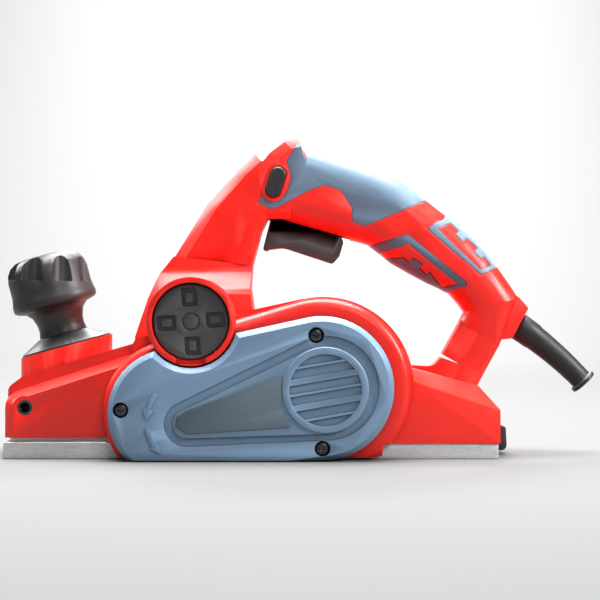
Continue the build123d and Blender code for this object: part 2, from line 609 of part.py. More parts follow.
GRIPS = {"upper_grip": (UPPER_GRIP, UPPER_RADII, None), "lower_grip": (LOWER_GRIP, 1.5, LOWER_COMB),
         "rear_grip": (REAR_GRIP, 1.5, REAR_COMB)}


def soft_grip(outline, radii, comb, low, high):
    """The skin of the handle inside an outline, less its comb-shaped window, between Y = low and high."""
    with BuildPart() as made:
        add(handle_outer.part)
        add(slab(outline, radii, low, high), mode=Mode.INTERSECT)
        add(handle_core.part, mode=Mode.SUBTRACT)
        if comb:
            add(plate(comb, low - 1, high + 1), mode=Mode.SUBTRACT)
    return made.solids().sort_by(SortBy.VOLUME)[-1]


TRIGGER_SLOPE = 16.2      # slope of the grip's underside at the trigger
TRIGGER_HALF = 8.0
PULL = (sin(radians(TRIGGER_SLOPE)), 0, cos(radians(TRIGGER_SLOPE)))
LOCK_X, LOCK_Z, LOCK_LEAN = -42.7, 163.1, 18.0
BAR_SCREWS = [(-83, 128), (-56.5, 168), (13, 160), (60, 118), (77, 69)]
CLAMP_X, CLAMP_Z = 80.0, 88.5
CLAMP_SCREWS = [(CLAMP_X - 1, CLAMP_Z - 3), (CLAMP_X - 1, CLAMP_Z + 3)]
GUARD_START = Plane(origin=(104.4, 0, 76.9), x_dir=(0, 1, 0), z_dir=(0.827, 0, -0.562))

with BuildPart() as handle_shell:
    add(handle_outer.part)
    add(handle_cavity.part, mode=Mode.SUBTRACT)
    # slot for the trigger through the underside
    add(plate([(-48.6, 155.5), (-47.2, 137), (2, 122.7), (3.2, 142)], -TRIGGER_HALF - 0.4,
              TRIGGER_HALF + 0.4),
        mode=Mode.SUBTRACT)
    # window of the lock button with its raised bezel, on the left
    lock_plane = Plane(origin=(LOCK_X, 0, LOCK_Z),
                       x_dir=(sin(radians(LOCK_LEAN)), 0, cos(radians(LOCK_LEAN))),
                       z_dir=(0, -1, 0))
    with BuildSketch(lock_plane.offset(HANDLE_HALF - 4)):
        SlotOverall(23.6, 14.2)
    extrude(amount=5.2)
    with BuildSketch(lock_plane.offset(HANDLE_HALF - 8)):
        SlotOverall(19.4, 10.0)
    extrude(amount=12, mode=Mode.SUBTRACT)
    # bore for the cord guard's neck and flange
    with BuildSketch(GUARD_START.offset(-16)):
        Circle(6.6)
    extrude(amount=24, mode=Mode.SUBTRACT)
    for start, depth in ((-4, 14), (-18, 5)):
        with BuildSketch(GUARD_START.offset(start)):
            Circle(8.8)
        extrude(amount=depth, mode=Mode.SUBTRACT)

with BuildPart() as screw_posts:
    # solid posts inside the handle for the screws that join its halves
    for x, z in BAR_SCREWS:
        add(disc(x, z, 3.6, -HANDLE_HALF + 2, HANDLE_HALF - 2))
    add(handle_core.part, mode=Mode.INTERSECT)

# The grips are moulded over the two shells, three on each.
grip_pieces = {}
for half_name, low, high in (("left", -25, 0), ("right", 0, 25)):
    for grip_name, (outline, radii, comb) in GRIPS.items():
        with BuildPart() as grip:
            add(soft_grip(outline, radii, comb, low, high))
        write(grip, f"{grip_name}_{half_name}")
        grip_pieces[grip_name, half_name] = grip.part

with BuildPart() as handle_left:
    add(left_half(handle_shell.part))
    add(left_half(screw_posts.part))
    for x, z in CLAMP_SCREWS:
        add(disc(x, z, 2.2, -14, 0))
        add(disc(x, z, 0.8, -8, 1), mode=Mode.SUBTRACT)
    for x, z in BAR_SCREWS:
        add(disc(x, z, 1.45, -9, 1), mode=Mode.SUBTRACT)
    for grip_name in GRIPS:
        add(grip_pieces[grip_name, "left"], mode=Mode.SUBTRACT)
write(handle_left, "handle_left")

with BuildPart() as handle_right:
    add(right_half(handle_shell.part))
    add(right_half(screw_posts.part))
    for grip_name in GRIPS:
        add(grip_pieces[grip_name, "right"], mode=Mode.SUBTRACT)
    for x, z in BAR_SCREWS:
        add(disc(x, z, 1.7, -1, 30), mode=Mode.SUBTRACT)
        add(disc(x, z, 3.3, 10.4, 30), mode=Mode.SUBTRACT)
write(handle_right, "handle_right")

with BuildPart() as handle_screws:
    # five that join the halves, and two small ones that hold the cord clamp
    for x, z in BAR_SCREWS:
        add(cross_screw(along_y(x, 10.4, z, 1), 3.1, 2.2, 1.4, 17))
    for x, z in CLAMP_SCREWS:
        add(cross_screw(along_y(x, 6.4, z, 1), 1.5, 1.2, 0.8, 11))
write(handle_screws, "handle_screws")

# ---------------------------------------------------------------- trigger, switch and lock button
with BuildPart() as trigger:
    add(slab([(-51, 121.3), (-46.9, 137.5), (-45, 145.8), (-6, 137.6), (-1.8, 127.5), (-4.2, 119.2),
              (-8.2, 114.4),
              (-38, 124.2), (-46.2, 123.2)], [1.6, 3, 1, 1, 3, 4, 2.5, 12, 3], -TRIGGER_HALF, TRIGGER_HALF))
    hold = [e for e in trigger.edges() if abs(abs(e.center().Y) - TRIGGER_HALF) < 0.1 and e.center().Z < 128]
    fillet(hold, 1.2)
    # pocket for the spring on the trigger's top
    with BuildSketch(Plane(origin=(-30, 0, 138.5), z_dir=PULL)):
        Circle(3.6)
    extrude(amount=12, mode=Mode.SUBTRACT)
write(trigger, "trigger")

switch_plane = Plane(origin=(-18, 0, 160.5),
                     x_dir=(cos(radians(TRIGGER_SLOPE)), 0, -sin(radians(TRIGGER_SLOPE))),
                     z_dir=PULL)
with BuildPart() as switch_body:
    with BuildSketch(switch_plane.offset(-4)):
        Rectangle(34, 17)
    extrude(amount=17)
    fillet(switch_body.edges().filter_by(Axis(switch_plane.origin, switch_plane.z_dir)), 1.2)
    with BuildSketch(switch_plane.offset(-6)):
        with Locations((8, 0)):
            Rectangle(6.4, 6.4)
    extrude(amount=9, mode=Mode.SUBTRACT)
write(switch_body, "switch_body")

with BuildPart() as switch_plunger:
    with BuildSketch(switch_plane.offset(-17.6)):
        with Locations((8, 0)):
            Rectangle(6, 6)
    extrude(amount=14.3)
write(switch_plunger, "switch_plunger")


def coil_spring(plane, radius, wire, length, turns):
    """A compression spring: a ring of wire for each turn, stacked along the plane's z axis, and a post."""
    with BuildPart() as made:
        pitch = (length - wire) / (turns - 1)
        for turn in range(turns):
            with BuildSketch(plane.offset(turn * pitch)):
                Circle(radius)
                Circle(radius - wire, mode=Mode.SUBTRACT)
            extrude(amount=wire)
        with BuildSketch(plane):
            with Locations((radius - wire / 2, 0)):
                Circle(wire * 0.45)
        extrude(amount=length)
    return made.part


with BuildPart() as trigger_spring:
    add(coil_spring(Plane(origin=(-30, 0, 138.6), z_dir=PULL), 3.2, 0.8, 19.5, 8))
write(trigger_spring, "trigger_spring")

with BuildPart() as lock_button:
    with BuildSketch(lock_plane.offset(6)):
        SlotOverall(19.0, 9.6)
    extrude(amount=HANDLE_HALF + 2.6 - 6)
    crown = lock_button.faces().sort_by(Axis.Y)[0].edges()
    fillet(crown, 1.6)
write(lock_button, "lock_button")

# ---------------------------------------------------------------- cord guard and clamp
GUARD_BEND_R = 234.0      # radius of the guard's gentle bend
GUARD_LENGTH = 51.5       # length along the bend, from the collar to the end
GUARD_SLOPE = 34.2        # downward slope where it leaves the collar
CORD_R = 3.7
GUARD_PROFILE = [         # (distance along the guard, outside radius)
    (-16, 8.4), (-13, 8.4), (-12.8, 6.4), (-0.2, 6.4), (0, 8.4), (5.6, 8.2), (10.8, 8.1), (11.8, 7.7),
    (18.5, 7.45), (25.2, 7.2), (32, 7.0), (38.6, 6.8), (45.2, 6.6), (50.2, 6.5), (50.4, 7.7), (51, 8.3),
    (52.6, 8.3), (53.2, 7.7),
]


def guard_plane(along):
    """Plane across the cord guard at a distance along it; it is straight beyond both ends of the bend."""
    bend = min(max(along, 0), GUARD_LENGTH)
    start = radians(GUARD_SLOPE)
    turn = start + bend / GUARD_BEND_R
    x = GUARD_START.origin.X + GUARD_BEND_R * (sin(turn) - sin(start))
    z = GUARD_START.origin.Z + GUARD_BEND_R * (cos(turn) - cos(start))
    return Plane(origin=(x, 0, z), x_dir=(0, 1, 0), z_dir=(cos(turn), 0, -sin(turn))).offset(along - bend)


def guard_length(stations):
    """A round length of the guard through (distance, radius) stations."""
    with BuildPart() as made:
        for along, radius in stations:
            with BuildSketch(guard_plane(along)):
                Circle(radius)
        loft(ruled=True)
    return made.part


with BuildPart() as cord_guard:
    add(guard_length(GUARD_PROFILE))
    add(guard_length([(along, CORD_R) for along in (-17, 0, 13, 26, 39, GUARD_LENGTH, 55)]),
        mode=Mode.SUBTRACT)
write(cord_guard, "cord_guard")

with BuildPart() as cord_clamp:
    add(slab([(CLAMP_X - 5, CLAMP_Z - 5), (CLAMP_X + 3, CLAMP_Z - 5), (CLAMP_X + 3, CLAMP_Z + 5),
              (CLAMP_X - 5, CLAMP_Z + 5)],
             1.0, 3.4, 6.4))
    for x, z in CLAMP_SCREWS:
        add(disc(x, z, 0.8, 3, 7), mode=Mode.SUBTRACT)
write(cord_clamp, "cord_clamp")

# ================================================================ belt cover
COVER_BOTTOM = 0.7
COVER_WALL = 3.2
GROOVE_DEPTH = 1.5
DISC_X, DISC_Z, DISC_R = -13.5, 41.0, 25.0        # raised disc over the motor pulley
SLAT_TILT = 9.7


def teardrop(small, large, low, high):
    """The hull of a small circle over the drum pulley and a large one over the motor pulley."""
    (small_x, small_z, small_r), (large_x, large_z, large_r) = small, large
    with BuildPart() as made:
        with BuildSketch(side(high)):
            with Locations((small_x, small_z)):
                Circle(small_r)
            with Locations((large_x, large_z)):
                Circle(large_r)
            make_hull()
        extrude(amount=high - low)
    return made.part


def cover_body(shrink, low, high, bottom):
    """The belt cover's outline, cut out around the chip port."""
    with BuildPart() as made:
        add(lobes(COVER_LEFT_R - shrink, COVER_RIGHT_R - shrink, low, high, bottom))
        add(disc(PORT_X, PORT_Z, PORT_RING + 1.2 + shrink, low - 1, high + 1), mode=Mode.SUBTRACT)
    return made.part


with BuildPart() as belt_cover:
    add(cover_body(0, COVER_FACE, BOSS_FACE, COVER_BOTTOM))
    face_edges = [e for e in belt_cover.edges() if abs(e.center().Y - COVER_FACE) < 0.01 and e.center().Z > 2]
    chamfer(face_edges, 3.0)
    add(cover_body(2.6, COVER_FACE + COVER_WALL, BOSS_FACE + 1, COVER_BOTTOM + 2.4), mode=Mode.SUBTRACT)
    # bosses behind the three screws
    for x, z in COVER_SCREWS:
        add(disc(x, z, 5.4, COVER_FACE + 2, BOSS_FACE))
    # the groove in the shape of a teardrop around the badge's plateau
    groove = teardrop((-93, 21.5, 13.2), (-12.6, 42.1, 30), COVER_FACE - 1, COVER_FACE + GROOVE_DEPTH)
    plateau = teardrop((-93, 21.5, 8), (DISC_X, DISC_Z, DISC_R), COVER_FACE - 2,
                       COVER_FACE + GROOVE_DEPTH + 1)
    with BuildPart(mode=Mode.PRIVATE) as moat:
        add(groove)
        add(plateau, mode=Mode.SUBTRACT)
        add(disc(PORT_X, PORT_Z, PORT_RING + 4, -80, -50), mode=Mode.SUBTRACT)
    add(moat.part, mode=Mode.SUBTRACT)
    # the disc over the motor pulley: a ring with a slatted floor
    add(disc(DISC_X, DISC_Z, DISC_R, COVER_FACE - 0.8, COVER_FACE + 1))
    lip = [e for e in belt_cover.edges() if abs(e.center().Y - (COVER_FACE - 0.8)) < 0.01]
    chamfer(lip, 0.7)
    add(disc(DISC_X, DISC_Z, DISC_R - 4.3, COVER_FACE - 2, COVER_FACE + 0.6), mode=Mode.SUBTRACT)
    with BuildSketch(along_y(DISC_X, COVER_FACE - 0.7, DISC_Z)):
        with Locations(Rotation(0, 0, SLAT_TILT)):
            with Locations((0, -7.4), (0, 7.4)):
                Rectangle(60, 3.4)
            with Locations((0, -15.2), (0, 0), (0, 15.2)):
                Rectangle(60, 1.3)
        Circle(DISC_R - 4.2, mode=Mode.INTERSECT)
    extrude(amount=-1.6)
    # screw recesses
    for x, z in COVER_SCREWS:
        add(disc(x, z, 4.6, COVER_FACE - 1, COVER_FACE + 4.6), mode=Mode.SUBTRACT)
        add(disc(x, z, 2.0, COVER_FACE - 1, BOSS_FACE + 1), mode=Mode.SUBTRACT)
    # two curved arrows that show the drum's direction of rotation, raised from the face
    with BuildSketch(along_y(DRUM_X, COVER_FACE - 0.5, DRUM_Z)):
        for start in (141, 190):
            with BuildLine():
                outer = CenterArc((0, 0), 26.5, start, 24)
                inner = CenterArc((0, 0), 23.5, start, 24)
                Line(outer @ 0, inner @ 0)
                Line(outer @ 1, inner @ 1)
            make_face()
            head = [Vector(x, y).rotate(Axis.Z, start + 24) for x, y in ((28.4, 0), (24.6, 6.2), (21.6, 0))]
            with BuildLine():
                Polyline(*head, close=True)
            make_face()
    extrude(amount=-0.9)
write(belt_cover, "belt_cover")

with BuildPart() as cover_badge:
    with BuildSketch(side(COVER_FACE)):
        with BuildLine():
            Polyline((-93.9, 29.1), (-38.6, 50.0), (-38.9, 30), (-32.7, 19.9), (-92.6, 15.8), (-99.4, 20),
                     (-99, 25.6),
                     close=True)
        make_face()
        with Locations((DISC_X, DISC_Z)):
            Circle(DISC_R + 0.5, mode=Mode.SUBTRACT)
    extrude(amount=0.6)
    fillet(cover_badge.edges().filter_by(Axis.Y), 1.0)
write(cover_badge, "cover_badge")

with BuildPart() as belt_cover_screws:
    for x, z in COVER_SCREWS:
        add(cross_screw(along_y(x, COVER_FACE + 4.6, z), 4.0, 2.6, 1.6, 16))
write(belt_cover_screws, "belt_cover_screws")

# ================================================================ belt drive
DRUM_PULLEY_R, MOTOR_PULLEY_R = 14.0, 15.0
PULLEY_IN, PULLEY_OUT = -51.8, -59.2
BELT_GAP, BELT_THICK = 0.3, 1.6


def ribbed_pulley(x, z, radius, bore, recess):
    """A pulley with six ribs, a flange on its inner side and a recess for its nut or bolt."""
    plane = along_y(x, PULLEY_IN, z)
    width = PULLEY_IN - PULLEY_OUT
    profile = [(bore, 0), (radius + 1.6, 0), (radius + 1.6, 0.8)]
    for rib in range(5):
        profile += [(radius, 1.0 + rib * 1.2), (radius - 0.8, 1.6 + rib * 1.2)]
    profile += [(radius, width), (recess, width), (recess, width - 3.4), (bore, width - 3.4)]
    return turned(plane, profile)


with BuildPart() as drum_pulley:
    add(ribbed_pulley(DRUM_X, DRUM_Z, DRUM_PULLEY_R, 4.0, 6.5))
write(drum_pulley, "drum_pulley")
with BuildPart() as motor_pulley:
    add(ribbed_pulley(MOTOR_X, MOTOR_Z, MOTOR_PULLEY_R, 4.0, 7.5))
write(motor_pulley, "motor_pulley")

with BuildPart() as drive_belt:
    add(teardrop((DRUM_X, DRUM_Z, DRUM_PULLEY_R + BELT_GAP + BELT_THICK),
                 (MOTOR_X, MOTOR_Z, MOTOR_PULLEY_R + BELT_GAP + BELT_THICK), PULLEY_OUT, PULLEY_IN - 1.1))
    add(teardrop((DRUM_X, DRUM_Z, DRUM_PULLEY_R + BELT_GAP),
                 (MOTOR_X, MOTOR_Z, MOTOR_PULLEY_R + BELT_GAP), PULLEY_OUT - 1, PULLEY_IN),
                 mode=Mode.SUBTRACT)
write(drive_belt, "drive_belt")


def hexagonal(plane, across, height, shank_r, length):
    """A hexagonal head on the plane with a shank into -z, or a nut when the length is zero."""
    with BuildPart() as made:
        with BuildSketch(plane):
            RegularPolygon(across / 2, 6, major_radius=False)
            if not length:
                Circle(shank_r, mode=Mode.SUBTRACT)
        extrude(amount=height)
        if length:
            with BuildSketch(plane):
                Circle(shank_r)
            extrude(amount=-length)
    return made.part


RECESS_FLOOR = PULLEY_OUT + 3.4
with BuildPart() as drum_pulley_bolt:
    add(hexagonal(along_y(DRUM_X, RECESS_FLOOR, DRUM_Z), 8, 3.0, 2.4, 10))
write(drum_pulley_bolt, "drum_pulley_bolt")
with BuildPart() as motor_pulley_nut:
    add(hexagonal(along_y(MOTOR_X, RECESS_FLOOR, MOTOR_Z), 11, 3.2, 3.0, 0))
write(motor_pulley_nut, "motor_pulley_nut")

# ================================================================ cutter drum
DRUM_HALF = 41.0
DRUM_SHAFT_R = 4.0
SLOT_ANGLES = (262, 82)       # the two blade slots
BOLT_PLACES = (-28, 0, 28)


def drum_axes(angle):
    """Sketch plane at Y = 41 facing -Y, its x axis radial at the angle, its y axis tangential."""
    a = radians(angle)
    return Plane(origin=(DRUM_X, DRUM_HALF, DRUM_Z), x_dir=(cos(a), 0, sin(a)), z_dir=(0, -1, 0))


with BuildPart() as cutter_drum:
    add(disc(DRUM_X, DRUM_Z, DRUM_RADIUS, -DRUM_HALF, DRUM_HALF))
    add(turned(along_y(DRUM_X, 0, DRUM_Z), [(0, -49), (DRUM_SHAFT_R, -49), (DRUM_SHAFT_R, -42.6),
                                            (5.6, -42.6), (5.6, 42.6),
                                            (DRUM_SHAFT_R, 42.6), (DRUM_SHAFT_R, -RECESS_FLOOR),
                                            (0, -RECESS_FLOOR)]))
    for angle in SLOT_ANGLES:
        with BuildSketch(drum_axes(angle)):
            with Locations((18.5, -0.5)):
                Rectangle(13, 8)
        extrude(amount=2 * DRUM_HALF, mode=Mode.SUBTRACT)
    add(disc(DRUM_X, DRUM_Z, 2.4, -60, -45.6), mode=Mode.SUBTRACT)
write(cutter_drum, "cutter_drum")

with BuildPart() as blades:
    for angle in SLOT_ANGLES:
        with BuildSketch(drum_axes(angle)):
            with BuildLine():
                Polyline((17.8, 2.2), (22.6, 2.2), (CUT_RADIUS - 0.1, 3.3), (17.8, 3.3), close=True)
            make_face()
        extrude(amount=2 * DRUM_HALF)
write(blades, "blades")

with BuildPart() as blade_clamps:
    for angle in SLOT_ANGLES:
        with BuildSketch(drum_axes(angle)):
            with BuildLine():
                Polyline((12.2, -1.0), (21.4, -1.0), (22.2, 2.0), (17.4, 2.1), (17.4, 3.3), (12.2, 3.3),
                         close=True)
            make_face()
        extrude(amount=2 * DRUM_HALF)
        for place in BOLT_PLACES:
            a = radians(angle)
            radial, across = Vector(cos(a), 0, sin(a)), Vector(sin(a), 0, -cos(a))
            centre = Vector(DRUM_X, place, DRUM_Z) + radial * 15.2
            with BuildSketch(Plane(origin=centre + across * 2, z_dir=-across)):
                Circle(2.0)
            extrude(amount=4.5, mode=Mode.SUBTRACT)
write(blade_clamps, "blade_clamps")

with BuildPart() as blade_clamp_bolts:
    for angle in SLOT_ANGLES:
        for place in BOLT_PLACES:
            a = radians(angle)
            radial, across = Vector(cos(a), 0, sin(a)), Vector(sin(a), 0, -cos(a))
            centre = Vector(DRUM_X, place, DRUM_Z) + radial * 15.2
            add(hexagonal(Plane(origin=centre + across * 2.2, z_dir=across), 5.5, 2.2, 1.95, 4.3))
write(blade_clamp_bolts, "blade_clamp_bolts")


# ================================================================ ball bearings
def bearing_ring(x, z, low, high, inside, outside):
    """One plain ring of a ball bearing."""
    with BuildPart() as made:
        add(disc(x, z, outside, low, high))
        add(disc(x, z, inside, low - 1, high + 1), mode=Mode.SUBTRACT)
    return made.part


def bearing_balls(x, z, y, pitch, radius, count):
    """The balls of a bearing, seven or so in a ring."""
    with BuildPart() as made:
        for number in range(count):
            a = radians(360 * number / count)
            with Locations((x + pitch * cos(a), y, z + pitch * sin(a))):
                Sphere(radius)
    return made.part


# x, z, low and high end, shaft radius, inner ring, outer ring's inside, outside
DRUM_BEARINGS = [(DRUM_X, DRUM_Z, -48.9, -42.6, 4.0, 6.0, 9.0, 11.0),
                 (DRUM_X, DRUM_Z, 42.6, 48.9, 4.0, 6.0, 9.0, 11.0)]
MOTOR_BEARINGS = [(MOTOR_X, MOTOR_Z, -48.5, -41.5, 4.0, 6.0, 9.0, 11.0),
                  (MOTOR_X, MOTOR_Z, SMALL_BEARING_LOW, SMALL_BEARING_LOW + SMALL_BEARING_WIDTH, 3.0, 4.8,
                   7.8, SMALL_BEARING_R)]
for owner, bearings in (("drum", DRUM_BEARINGS), ("motor", MOTOR_BEARINGS)):
    with BuildPart() as inner_rings:
        for x, z, low, high, shaft, inner, _, _ in bearings:
            add(bearing_ring(x, z, low, high, shaft, inner))
    write(inner_rings, f"{owner}_bearing_inner_rings")
    with BuildPart() as outer_rings:
        for x, z, low, high, _, _, cup, outer in bearings:
            add(bearing_ring(x, z, low, high, cup, outer))
    write(outer_rings, f"{owner}_bearing_outer_rings")
    with BuildPart() as balls:
        for x, z, low, high, _, inner, cup, _ in bearings:
            add(bearing_balls(x, z, (low + high) / 2, (inner + cup) / 2, (cup - inner) / 2 - 0.05, 9))
    write(balls, f"{owner}_bearing_balls")

# ================================================================ motor
CORE_LOW, CORE_HIGH = -12.0, 26.0
CORE_R = 20.0
with BuildPart() as armature_shaft:
    add(turned(MOTOR_AXIS, [(0, -58.4), (3, -58.4), (3, RECESS_FLOOR), (4, RECESS_FLOOR), (4, -41),
                            (6, -41), (6, 64),
                            (3, 65.9), (3, 72), (0, 72)]))
write(armature_shaft, "armature_shaft")

with BuildPart() as armature_core:
    with BuildSketch(side(CORE_HIGH)):
        with Locations((MOTOR_X, MOTOR_Z)):
            Circle(CORE_R)
            Circle(6, mode=Mode.SUBTRACT)
            with PolarLocations(15.5, 12):
                SlotOverall(7.0, 4.0, mode=Mode.SUBTRACT)
            with PolarLocations(19.5, 12):
                Rectangle(3, 1.6, mode=Mode.SUBTRACT)
    extrude(amount=CORE_HIGH - CORE_LOW)
write(armature_core, "armature_core")

with BuildPart() as armature_windings:
    # wire in the slots, and the end turns on both sides of the core
    with BuildSketch(side(CORE_HIGH + 1)):
        with Locations((MOTOR_X, MOTOR_Z)):
            with PolarLocations(15.5, 12):
                SlotOverall(6.8, 3.8)
    extrude(amount=CORE_HIGH - CORE_LOW + 2)
    for low, high in ((CORE_LOW - 8.5, CORE_LOW - 0.1), (CORE_HIGH + 0.1, CORE_HIGH + 8.5)):
        add(turned(MOTOR_AXIS, [(6, low), (14, low), (18.6, low + 2.5), (18.6, high - 2.5), (14, high),
                                (6, high)]))
write(armature_windings, "armature_windings")

COMMUTATOR_LOW, COMMUTATOR_HIGH, COMMUTATOR_R = 48.5, 62.0, 12.0
with BuildPart() as commutator:
    add(turned(MOTOR_AXIS, [(6, 36), (9, 36), (9, COMMUTATOR_LOW - 2),
                            (COMMUTATOR_R + 1.5, COMMUTATOR_LOW - 2),
                            (COMMUTATOR_R + 1.5, COMMUTATOR_LOW), (COMMUTATOR_R, COMMUTATOR_LOW),
                            (COMMUTATOR_R, COMMUTATOR_HIGH), (6, COMMUTATOR_HIGH)]))
    with BuildSketch(along_y(MOTOR_X, COMMUTATOR_LOW, MOTOR_Z, 1)):
        with PolarLocations(COMMUTATOR_R, 24):
            Rectangle(1.6, 0.5)
    extrude(amount=COMMUTATOR_HIGH - COMMUTATOR_LOW + 1, mode=Mode.SUBTRACT)
write(commutator, "commutator")

FAN_LOW, FAN_HIGH, FAN_R = -38.0, -25.0, 28.0
with BuildPart() as cooling_fan:
    add(turned(MOTOR_AXIS, [(6, FAN_LOW), (FAN_R, FAN_LOW), (FAN_R, FAN_LOW + 1.6), (10, FAN_LOW + 1.6),
                            (10, FAN_HIGH - 2),
                            (6, FAN_HIGH - 2)]))
    with BuildSketch(along_y(MOTOR_X, FAN_LOW + 1, MOTOR_Z, 1)):
        with PolarLocations(19, 14):
            Rectangle(15.5, 1.4, rotation=24)
        Circle(FAN_R - 0.1, mode=Mode.INTERSECT)
    extrude(amount=FAN_HIGH - FAN_LOW - 1)
write(cooling_fan, "cooling_fan")

COIL_IN, COIL_OUT = 23.4, 29.4
with BuildPart() as stator_core:
    with BuildSketch(side(CORE_HIGH)):
        with Locations((MOTOR_X, MOTOR_Z)):
            RectangleRounded(STATOR_WIDTH, STATOR_HEIGHT, STATOR_CORNER)
            Circle(CORE_R + 0.7, mode=Mode.SUBTRACT)
            with Locations((26.4, 16.6), (26.4, -16.6), (-26.4, 16.6), (-26.4, -16.6)):
                Rectangle(6.4, 7.6, mode=Mode.SUBTRACT)
            with Locations((0, 0)):
                Rectangle(42, 26, mode=Mode.SUBTRACT)
                Rectangle(9, 52, mode=Mode.SUBTRACT)
    extrude(amount=CORE_HIGH - CORE_LOW)
write(stator_core, "stator_core")

with BuildPart() as field_coils:
    for sign in (-1, 1):
        with BuildSketch(Plane(origin=(MOTOR_X + sign * COIL_IN, (CORE_LOW + CORE_HIGH) / 2, MOTOR_Z),
                               x_dir=(0, 1, 0), z_dir=(sign, 0, 0))):
            RectangleRounded(CORE_HIGH - CORE_LOW + 16, 40, 6)
            RectangleRounded(CORE_HIGH - CORE_LOW + 1, 26.4, 1.5, mode=Mode.SUBTRACT)
        extrude(amount=COIL_OUT - COIL_IN)
write(field_coils, "field_coils")

with BuildPart() as brush_holders:
    for sign in (-1, 1):
        with BuildSketch(Plane(origin=(MOTOR_X + sign * 14, BRUSH_Y, MOTOR_Z), x_dir=(0, 1, 0),
                               z_dir=(sign, 0, 0))):
            Rectangle(9.4, 11.4)
            Rectangle(6.2, 8.2, mode=Mode.SUBTRACT)
        extrude(amount=28)
        with BuildSketch(Plane(origin=(MOTOR_X + sign * 37, BRUSH_Y, MOTOR_Z), x_dir=(0, 1, 0),
                               z_dir=(sign, 0, 0))):
            Rectangle(12, 14)
            Rectangle(9.0, 11.0, mode=Mode.SUBTRACT)
        extrude(amount=5)
write(brush_holders, "brush_holders")

with BuildPart() as carbon_brushes:
    for sign in (-1, 1):
        with BuildSketch(Plane(origin=(MOTOR_X + sign * (COMMUTATOR_R + 0.3), BRUSH_Y, MOTOR_Z),
                               x_dir=(0, 1, 0),
                               z_dir=(sign, 0, 0))):
            Rectangle(6.0, 8.0)
        extrude(amount=15)
write(carbon_brushes, "carbon_brushes")

with BuildPart() as brush_caps:
    for sign in (-1, 1):
        plane = Plane(origin=(MOTOR_X + sign * 43, BRUSH_Y, MOTOR_Z), x_dir=(0, 1, 0), z_dir=(sign, 0, 0))
        add(turned(plane, [(0, 0), (BRUSH_CAP_R - 0.2, 0), (BRUSH_CAP_R - 0.2, 3.6), (BRUSH_CAP_R - 1, 4.4),
                           (0, 4.4)]))
        with BuildSketch(plane.offset(4.5)):
            Rectangle(9.5, 1.5)
        extrude(amount=-1.6, mode=Mode.SUBTRACT)
write(brush_caps, "brush_caps")

# ================================================================ depth adjustment
KNOB_NECK = 14.6
with BuildPart() as scale_ring:
    add(turned(KNOB_AXIS, [(7.2, 0.0), (27.3, 0.0), (27.3, 1.0), (15.4, 7.6), (7.2, 7.6)]))
    # a line on the cone for every quarter of a millimetre of depth
    for number in range(24):
        angle = 15 * number
        long = number % 4 == 0
        tick = KNOB_AXIS.offset(4.3).rotated((0, 0, angle))
        across = Plane(origin=tick.from_local_coords((21.4, 0, 0)), x_dir=tick.x_dir,
                       z_dir=tick.x_dir * 0.485 + tick.z_dir * 0.875)
        with BuildSketch(across.offset(1)):
            Rectangle(8.0 if long else 5.0, 0.6)
        extrude(amount=-1.6, mode=Mode.SUBTRACT)
write(scale_ring, "scale_ring")

with BuildPart() as depth_knob:
    add(turned(KNOB_AXIS, [(4.0, 7.9), (KNOB_NECK, 7.9), (KNOB_NECK - 0.8, 12), (KNOB_NECK - 0.5, 16),
                           (15.8, 21),
                           (18.8, 24.0), (23.6, 25.3), (25.4, 26.6), (25.7, 29.5), (25.0, 32.5), (24.5, 36),
                           (24.5, 45),
                           (23.6, 49.6), (21.2, 53.4), (17.6, 55.8), (14, 56.5), (0, 56.5), (0, 40),
                           (4.0, 40)]))
    # eight finger flutes with flat shelves at their feet
    for number in range(8):
        turn = KNOB_AXIS.offset(34.2).rotated((0, 0, 45 * number + 22.5))
        with BuildSketch(turn):
            with Locations((29.6, 0)):
                Circle(8.6)
        extrude(amount=16, taper=9, mode=Mode.SUBTRACT)
write(depth_knob, "depth_knob")

with BuildPart() as depth_spindle:
    add(turned(KNOB_AXIS, [(0, -53), (3.2, -53), (4.0, -52), (4.0, 36), (0, 36)]))
write(depth_spindle, "depth_spindle")

with BuildPart() as spindle_nut:
    add(turned(KNOB_AXIS, [(4.04, -49.9), (6.5, -49.9), (6.5, -38), (9, -38), (9, -35.8), (4.04, -35.8)]))
write(spindle_nut, "spindle_nut")

SPRING_FLOOR = 4.5
with BuildPart() as shoe_springs:
    for y in (-SPRING_Y, SPRING_Y):
        add(coil_spring(Plane((SPRING_X, y, SPRING_FLOOR)), 4.6, 0.9, SPRING_TOP - SPRING_FLOOR, 8))
write(shoe_springs, "shoe_springs")

# ================================================================ chip port
DIVERTER_R, DIVERTER_BORE, NOZZLE_BORE = 22.2, 20.0, 17.5
CAP_INNER, CAP_FACE = -51.0, -57.6
NOZZLE_END = 74.0
PORT_AXIS = along_y(PORT_X, 0, PORT_Z, 1)
with BuildPart() as chip_diverter:
    add(turned(PORT_AXIS, [(DIVERTER_BORE, CAP_INNER), (DIVERTER_R, CAP_INNER), (DIVERTER_R, 56),
                           (21.2, NOZZLE_END - 1),
                           (20.6, NOZZLE_END), (NOZZLE_BORE, NOZZLE_END), (NOZZLE_BORE, 60),
                           (DIVERTER_BORE, 50)]))
    # window over the chip duct, and the curved wall that turns the chips to the right
    add(block((PORT_X - 17, PORT_X + 17), (-26, 26), (50, PORT_Z - 6)), mode=Mode.SUBTRACT)
    add(turned(PORT_AXIS, [(0, -34), (DIVERTER_R, -34), (DIVERTER_R, -30), (16, -31), (8, -31.6),
                           (0, -31.8)]))
write(chip_diverter, "chip_diverter")

